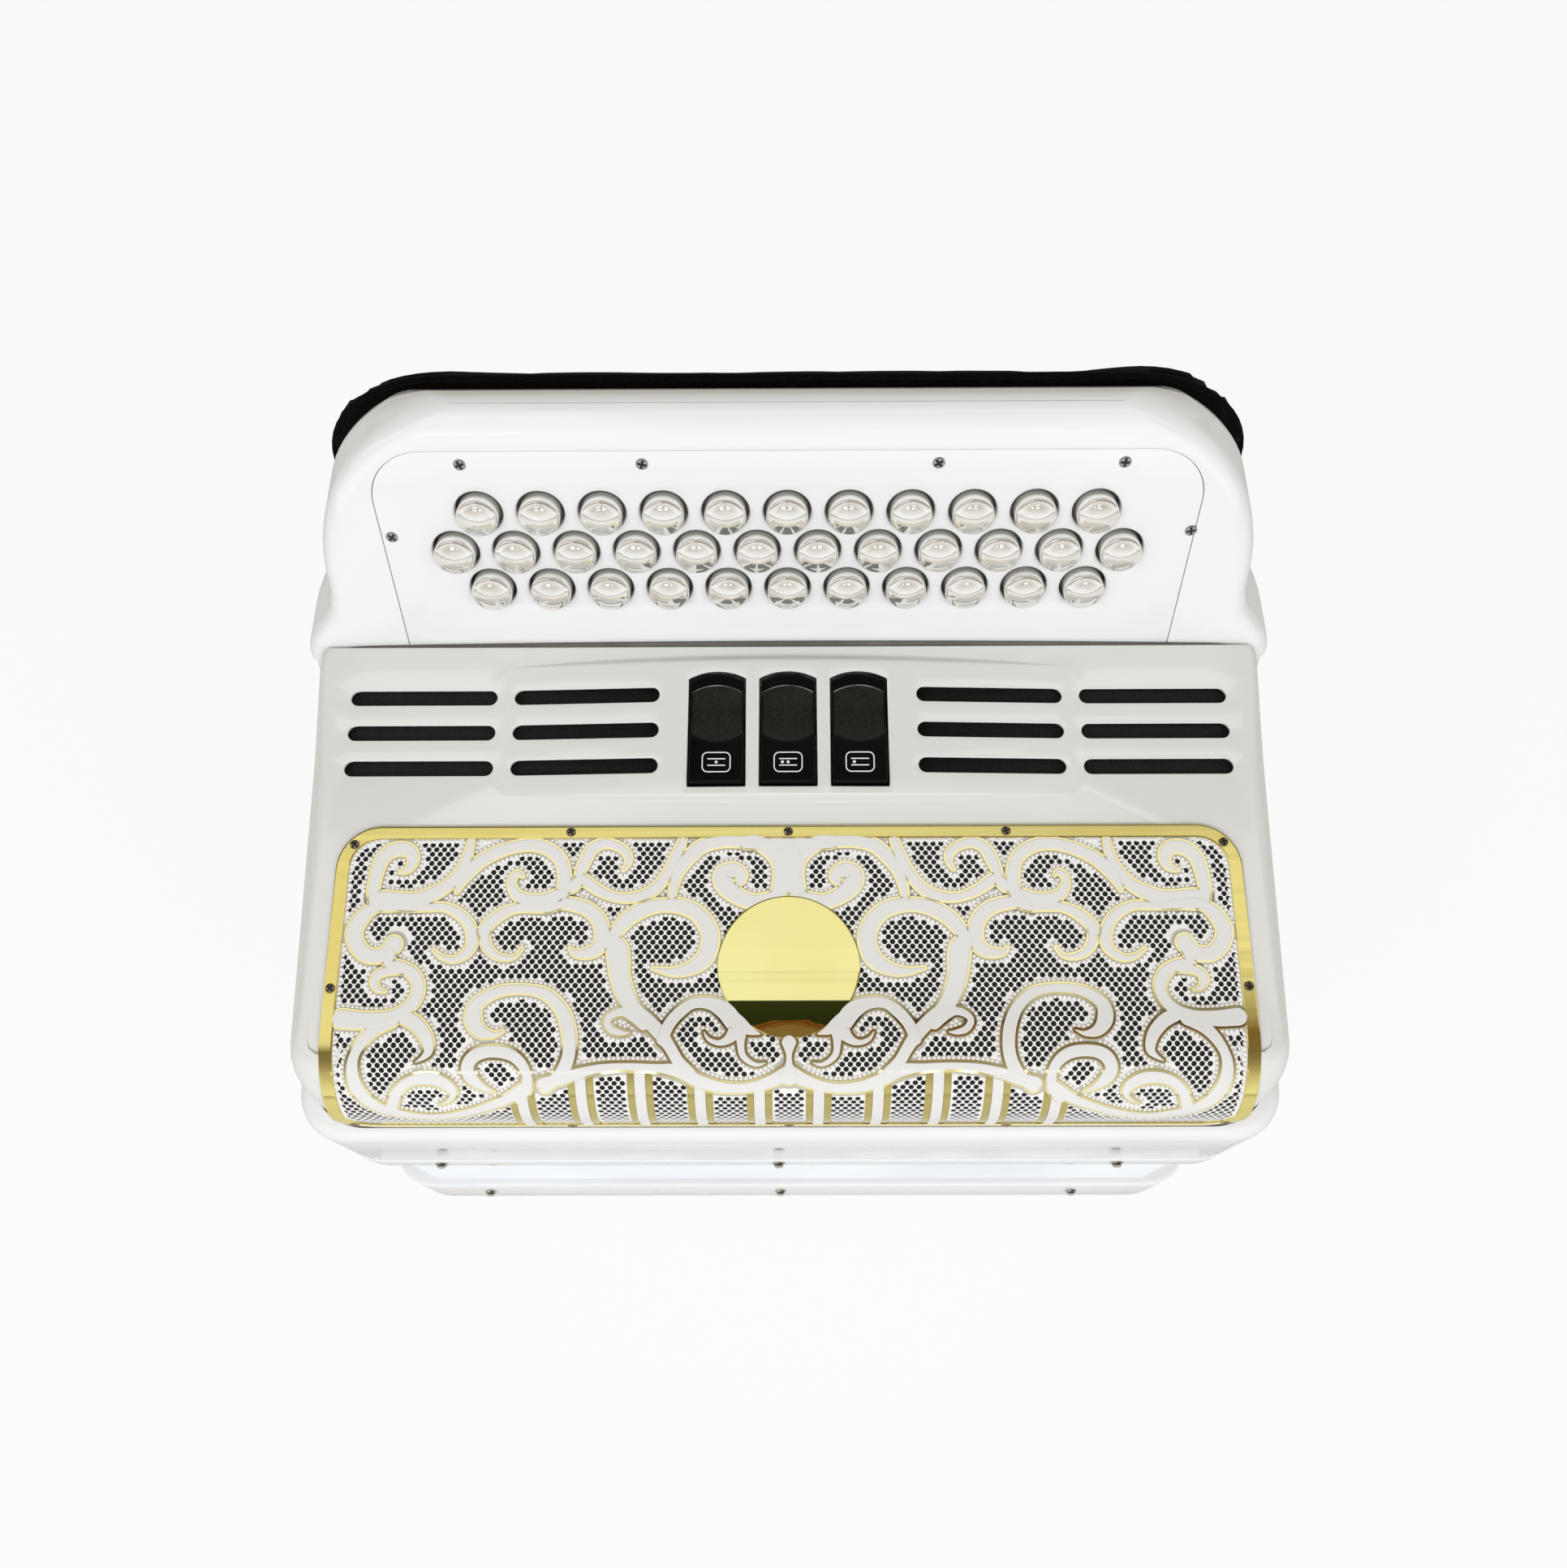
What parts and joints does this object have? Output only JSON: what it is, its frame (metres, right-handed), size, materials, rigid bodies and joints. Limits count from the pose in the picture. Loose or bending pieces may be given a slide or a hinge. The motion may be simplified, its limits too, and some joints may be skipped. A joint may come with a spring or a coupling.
{
  "type": "diatonic accordion",
  "caption": "Diatonic button accordion with three rows of treble buttons, register switches, gilt grille, folded bellows and a bass side with hand strap, standing on its bass feet.",
  "frame": {"origin": "on the floor under the middle of the object, standing on its bass feet", "axes": "+X along the button rows, -Y towards the front with the grille, +Z the way the bellows open"},
  "size_m": [0.334, 0.222, 0.3478],
  "materials": {
    "shell_white": "white gloss celluloid",
    "button_pearl": "white pearl gloss",
    "switch_black": "black gloss",
    "grille_gold": "bright gilt with white enamel",
    "bellows_white": "white bellows cloth",
    "strap_leather": "black grained leather",
    "pad_black": "black velvet",
    "reed_wood": "plain spruce",
    "air_nickel": "polished nickel"
  },
  "bodies": {
    "bass_side": {"bass_case": "shell_white", "bass_cover": "shell_white", "hand_strap": "strap_leather", "bellows": "bellows_white"},
    "treble_side": {"treble_case": "shell_white", "treble_reed_block": "reed_wood", "button_plate": "shell_white", "treble_cover": "shell_white", "grille_plate": "grille_gold", "back_pad": "pad_black"},
    "treble_button_1_01": {"treble_button_1_01": "button_pearl"},
    "treble_button_1_02": {"treble_button_1_02": "button_pearl"},
    "treble_button_1_03": {"treble_button_1_03": "button_pearl"},
    "treble_button_1_04": {"treble_button_1_04": "button_pearl"},
    "treble_button_1_05": {"treble_button_1_05": "button_pearl"},
    "treble_button_1_06": {"treble_button_1_06": "button_pearl"},
    "treble_button_1_07": {"treble_button_1_07": "button_pearl"},
    "treble_button_1_08": {"treble_button_1_08": "button_pearl"},
    "treble_button_1_09": {"treble_button_1_09": "button_pearl"},
    "treble_button_1_10": {"treble_button_1_10": "button_pearl"},
    "treble_button_1_11": {"treble_button_1_11": "button_pearl"},
    "treble_button_2_01": {"treble_button_2_01": "button_pearl"},
    "treble_button_2_02": {"treble_button_2_02": "button_pearl"},
    "treble_button_2_03": {"treble_button_2_03": "button_pearl"},
    "treble_button_2_04": {"treble_button_2_04": "button_pearl"},
    "treble_button_2_05": {"treble_button_2_05": "button_pearl"},
    "treble_button_2_06": {"treble_button_2_06": "button_pearl"},
    "treble_button_2_07": {"treble_button_2_07": "button_pearl"},
    "treble_button_2_08": {"treble_button_2_08": "button_pearl"},
    "treble_button_2_09": {"treble_button_2_09": "button_pearl"},
    "treble_button_2_10": {"treble_button_2_10": "button_pearl"},
    "treble_button_2_11": {"treble_button_2_11": "button_pearl"},
    "treble_button_2_12": {"treble_button_2_12": "button_pearl"},
    "treble_button_3_01": {"treble_button_3_01": "button_pearl"},
    "treble_button_3_02": {"treble_button_3_02": "button_pearl"},
    "treble_button_3_03": {"treble_button_3_03": "button_pearl"},
    "treble_button_3_04": {"treble_button_3_04": "button_pearl"},
    "treble_button_3_05": {"treble_button_3_05": "button_pearl"},
    "treble_button_3_06": {"treble_button_3_06": "button_pearl"},
    "treble_button_3_07": {"treble_button_3_07": "button_pearl"},
    "treble_button_3_08": {"treble_button_3_08": "button_pearl"},
    "treble_button_3_09": {"treble_button_3_09": "button_pearl"},
    "treble_button_3_10": {"treble_button_3_10": "button_pearl"},
    "treble_button_3_11": {"treble_button_3_11": "button_pearl"},
    "bass_button_1_1": {"bass_button_1_1": "button_pearl"},
    "bass_button_1_2": {"bass_button_1_2": "button_pearl"},
    "bass_button_1_3": {"bass_button_1_3": "button_pearl"},
    "bass_button_1_4": {"bass_button_1_4": "button_pearl"},
    "bass_button_1_5": {"bass_button_1_5": "button_pearl"},
    "bass_button_1_6": {"bass_button_1_6": "button_pearl"},
    "bass_button_2_1": {"bass_button_2_1": "button_pearl"},
    "bass_button_2_2": {"bass_button_2_2": "button_pearl"},
    "bass_button_2_3": {"bass_button_2_3": "button_pearl"},
    "bass_button_2_4": {"bass_button_2_4": "button_pearl"},
    "bass_button_2_5": {"bass_button_2_5": "button_pearl"},
    "bass_button_2_6": {"bass_button_2_6": "button_pearl"},
    "air_button": {"air_button": "air_nickel"},
    "register_switch_1": {"register_switch_1": "switch_black"},
    "register_switch_2": {"register_switch_2": "switch_black"},
    "register_switch_3": {"register_switch_3": "switch_black"}
  },
  "joints": [
    {"name": "bellows_open", "type": "slide", "parent": "bass_side", "child": "treble_side", "axis": [0, 0, 1], "range_m": [0, 0.24], "deforming": ["bellows"]},
    {"name": "treble_button_1_01_press", "type": "slide", "parent": "treble_side", "child": "treble_button_1_01", "axis": [0, 0.9285, -0.3714], "range_m": [0, 0.004], "stiffness_N_per_m": 150, "springref_m": -0.003},
    {"name": "treble_button_1_02_press", "type": "slide", "parent": "treble_side", "child": "treble_button_1_02", "axis": [0, 0.9285, -0.3714], "range_m": [0, 0.004], "stiffness_N_per_m": 150, "springref_m": -0.003},
    {"name": "treble_button_1_03_press", "type": "slide", "parent": "treble_side", "child": "treble_button_1_03", "axis": [0, 0.9285, -0.3714], "range_m": [0, 0.004], "stiffness_N_per_m": 150, "springref_m": -0.003},
    {"name": "treble_button_1_04_press", "type": "slide", "parent": "treble_side", "child": "treble_button_1_04", "axis": [0, 0.9285, -0.3714], "range_m": [0, 0.004], "stiffness_N_per_m": 150, "springref_m": -0.003},
    {"name": "treble_button_1_05_press", "type": "slide", "parent": "treble_side", "child": "treble_button_1_05", "axis": [0, 0.9285, -0.3714], "range_m": [0, 0.004], "stiffness_N_per_m": 150, "springref_m": -0.003},
    {"name": "treble_button_1_06_press", "type": "slide", "parent": "treble_side", "child": "treble_button_1_06", "axis": [0, 0.9285, -0.3714], "range_m": [0, 0.004], "stiffness_N_per_m": 150, "springref_m": -0.003},
    {"name": "treble_button_1_07_press", "type": "slide", "parent": "treble_side", "child": "treble_button_1_07", "axis": [0, 0.9285, -0.3714], "range_m": [0, 0.004], "stiffness_N_per_m": 150, "springref_m": -0.003},
    {"name": "treble_button_1_08_press", "type": "slide", "parent": "treble_side", "child": "treble_button_1_08", "axis": [0, 0.9285, -0.3714], "range_m": [0, 0.004], "stiffness_N_per_m": 150, "springref_m": -0.003},
    {"name": "treble_button_1_09_press", "type": "slide", "parent": "treble_side", "child": "treble_button_1_09", "axis": [0, 0.9285, -0.3714], "range_m": [0, 0.004], "stiffness_N_per_m": 150, "springref_m": -0.003},
    {"name": "treble_button_1_10_press", "type": "slide", "parent": "treble_side", "child": "treble_button_1_10", "axis": [0, 0.9285, -0.3714], "range_m": [0, 0.004], "stiffness_N_per_m": 150, "springref_m": -0.003},
    {"name": "treble_button_1_11_press", "type": "slide", "parent": "treble_side", "child": "treble_button_1_11", "axis": [0, 0.9285, -0.3714], "range_m": [0, 0.004], "stiffness_N_per_m": 150, "springref_m": -0.003},
    {"name": "treble_button_2_01_press", "type": "slide", "parent": "treble_side", "child": "treble_button_2_01", "axis": [0, 0.9285, -0.3714], "range_m": [0, 0.004], "stiffness_N_per_m": 150, "springref_m": -0.003},
    {"name": "treble_button_2_02_press", "type": "slide", "parent": "treble_side", "child": "treble_button_2_02", "axis": [0, 0.9285, -0.3714], "range_m": [0, 0.004], "stiffness_N_per_m": 150, "springref_m": -0.003},
    {"name": "treble_button_2_03_press", "type": "slide", "parent": "treble_side", "child": "treble_button_2_03", "axis": [0, 0.9285, -0.3714], "range_m": [0, 0.004], "stiffness_N_per_m": 150, "springref_m": -0.003},
    {"name": "treble_button_2_04_press", "type": "slide", "parent": "treble_side", "child": "treble_button_2_04", "axis": [0, 0.9285, -0.3714], "range_m": [0, 0.004], "stiffness_N_per_m": 150, "springref_m": -0.003},
    {"name": "treble_button_2_05_press", "type": "slide", "parent": "treble_side", "child": "treble_button_2_05", "axis": [0, 0.9285, -0.3714], "range_m": [0, 0.004], "stiffness_N_per_m": 150, "springref_m": -0.003},
    {"name": "treble_button_2_06_press", "type": "slide", "parent": "treble_side", "child": "treble_button_2_06", "axis": [0, 0.9285, -0.3714], "range_m": [0, 0.004], "stiffness_N_per_m": 150, "springref_m": -0.003},
    {"name": "treble_button_2_07_press", "type": "slide", "parent": "treble_side", "child": "treble_button_2_07", "axis": [0, 0.9285, -0.3714], "range_m": [0, 0.004], "stiffness_N_per_m": 150, "springref_m": -0.003},
    {"name": "treble_button_2_08_press", "type": "slide", "parent": "treble_side", "child": "treble_button_2_08", "axis": [0, 0.9285, -0.3714], "range_m": [0, 0.004], "stiffness_N_per_m": 150, "springref_m": -0.003},
    {"name": "treble_button_2_09_press", "type": "slide", "parent": "treble_side", "child": "treble_button_2_09", "axis": [0, 0.9285, -0.3714], "range_m": [0, 0.004], "stiffness_N_per_m": 150, "springref_m": -0.003},
    {"name": "treble_button_2_10_press", "type": "slide", "parent": "treble_side", "child": "treble_button_2_10", "axis": [0, 0.9285, -0.3714], "range_m": [0, 0.004], "stiffness_N_per_m": 150, "springref_m": -0.003},
    {"name": "treble_button_2_11_press", "type": "slide", "parent": "treble_side", "child": "treble_button_2_11", "axis": [0, 0.9285, -0.3714], "range_m": [0, 0.004], "stiffness_N_per_m": 150, "springref_m": -0.003},
    {"name": "treble_button_2_12_press", "type": "slide", "parent": "treble_side", "child": "treble_button_2_12", "axis": [0, 0.9285, -0.3714], "range_m": [0, 0.004], "stiffness_N_per_m": 150, "springref_m": -0.003},
    {"name": "treble_button_3_01_press", "type": "slide", "parent": "treble_side", "child": "treble_button_3_01", "axis": [0, 0.9285, -0.3714], "range_m": [0, 0.004], "stiffness_N_per_m": 150, "springref_m": -0.003},
    {"name": "treble_button_3_02_press", "type": "slide", "parent": "treble_side", "child": "treble_button_3_02", "axis": [0, 0.9285, -0.3714], "range_m": [0, 0.004], "stiffness_N_per_m": 150, "springref_m": -0.003},
    {"name": "treble_button_3_03_press", "type": "slide", "parent": "treble_side", "child": "treble_button_3_03", "axis": [0, 0.9285, -0.3714], "range_m": [0, 0.004], "stiffness_N_per_m": 150, "springref_m": -0.003},
    {"name": "treble_button_3_04_press", "type": "slide", "parent": "treble_side", "child": "treble_button_3_04", "axis": [0, 0.9285, -0.3714], "range_m": [0, 0.004], "stiffness_N_per_m": 150, "springref_m": -0.003},
    {"name": "treble_button_3_05_press", "type": "slide", "parent": "treble_side", "child": "treble_button_3_05", "axis": [0, 0.9285, -0.3714], "range_m": [0, 0.004], "stiffness_N_per_m": 150, "springref_m": -0.003},
    {"name": "treble_button_3_06_press", "type": "slide", "parent": "treble_side", "child": "treble_button_3_06", "axis": [0, 0.9285, -0.3714], "range_m": [0, 0.004], "stiffness_N_per_m": 150, "springref_m": -0.003},
    {"name": "treble_button_3_07_press", "type": "slide", "parent": "treble_side", "child": "treble_button_3_07", "axis": [0, 0.9285, -0.3714], "range_m": [0, 0.004], "stiffness_N_per_m": 150, "springref_m": -0.003},
    {"name": "treble_button_3_08_press", "type": "slide", "parent": "treble_side", "child": "treble_button_3_08", "axis": [0, 0.9285, -0.3714], "range_m": [0, 0.004], "stiffness_N_per_m": 150, "springref_m": -0.003},
    {"name": "treble_button_3_09_press", "type": "slide", "parent": "treble_side", "child": "treble_button_3_09", "axis": [0, 0.9285, -0.3714], "range_m": [0, 0.004], "stiffness_N_per_m": 150, "springref_m": -0.003},
    {"name": "treble_button_3_10_press", "type": "slide", "parent": "treble_side", "child": "treble_button_3_10", "axis": [0, 0.9285, -0.3714], "range_m": [0, 0.004], "stiffness_N_per_m": 150, "springref_m": -0.003},
    {"name": "treble_button_3_11_press", "type": "slide", "parent": "treble_side", "child": "treble_button_3_11", "axis": [0, 0.9285, -0.3714], "range_m": [0, 0.004], "stiffness_N_per_m": 150, "springref_m": -0.003},
    {"name": "bass_button_1_1_press", "type": "slide", "parent": "bass_side", "child": "bass_button_1_1", "axis": [0, -0.8354, 0.5496], "range_m": [0, 0.0035], "stiffness_N_per_m": 180, "springref_m": -0.003},
    {"name": "bass_button_1_2_press", "type": "slide", "parent": "bass_side", "child": "bass_button_1_2", "axis": [0, -0.8354, 0.5496], "range_m": [0, 0.0035], "stiffness_N_per_m": 180, "springref_m": -0.003},
    {"name": "bass_button_1_3_press", "type": "slide", "parent": "bass_side", "child": "bass_button_1_3", "axis": [0, -0.8354, 0.5496], "range_m": [0, 0.0035], "stiffness_N_per_m": 180, "springref_m": -0.003},
    {"name": "bass_button_1_4_press", "type": "slide", "parent": "bass_side", "child": "bass_button_1_4", "axis": [0, -0.8354, 0.5496], "range_m": [0, 0.0035], "stiffness_N_per_m": 180, "springref_m": -0.003},
    {"name": "bass_button_1_5_press", "type": "slide", "parent": "bass_side", "child": "bass_button_1_5", "axis": [0, -0.8354, 0.5496], "range_m": [0, 0.0035], "stiffness_N_per_m": 180, "springref_m": -0.003},
    {"name": "bass_button_1_6_press", "type": "slide", "parent": "bass_side", "child": "bass_button_1_6", "axis": [0, -0.8354, 0.5496], "range_m": [0, 0.0035], "stiffness_N_per_m": 180, "springref_m": -0.003},
    {"name": "bass_button_2_1_press", "type": "slide", "parent": "bass_side", "child": "bass_button_2_1", "axis": [0, -0.8354, 0.5496], "range_m": [0, 0.0035], "stiffness_N_per_m": 180, "springref_m": -0.003},
    {"name": "bass_button_2_2_press", "type": "slide", "parent": "bass_side", "child": "bass_button_2_2", "axis": [0, -0.8354, 0.5496], "range_m": [0, 0.0035], "stiffness_N_per_m": 180, "springref_m": -0.003},
    {"name": "bass_button_2_3_press", "type": "slide", "parent": "bass_side", "child": "bass_button_2_3", "axis": [0, -0.8354, 0.5496], "range_m": [0, 0.0035], "stiffness_N_per_m": 180, "springref_m": -0.003},
    {"name": "bass_button_2_4_press", "type": "slide", "parent": "bass_side", "child": "bass_button_2_4", "axis": [0, -0.8354, 0.5496], "range_m": [0, 0.0035], "stiffness_N_per_m": 180, "springref_m": -0.003},
    {"name": "bass_button_2_5_press", "type": "slide", "parent": "bass_side", "child": "bass_button_2_5", "axis": [0, -0.8354, 0.5496], "range_m": [0, 0.0035], "stiffness_N_per_m": 180, "springref_m": -0.003},
    {"name": "bass_button_2_6_press", "type": "slide", "parent": "bass_side", "child": "bass_button_2_6", "axis": [0, -0.8354, 0.5496], "range_m": [0, 0.0035], "stiffness_N_per_m": 180, "springref_m": -0.003},
    {"name": "air_button_press", "type": "slide", "parent": "bass_side", "child": "air_button", "axis": [0, -0.8354, 0.5496], "range_m": [0, 0.004], "stiffness_N_per_m": 200, "springref_m": -0.003},
    {"name": "register_switch_1_rock", "type": "hinge", "parent": "treble_side", "child": "register_switch_1", "pos_m": [-0.02375, 0.01486, 0.26727], "axis": [1, 0, 0], "range_deg": [0, 6]},
    {"name": "register_switch_2_rock", "type": "hinge", "parent": "treble_side", "child": "register_switch_2", "pos_m": [0, 0.01486, 0.26727], "axis": [1, 0, 0], "range_deg": [0, 6]},
    {"name": "register_switch_3_rock", "type": "hinge", "parent": "treble_side", "child": "register_switch_3", "pos_m": [0.02375, 0.01486, 0.26727], "axis": [1, 0, 0], "range_deg": [0, 6]}
  ]
}
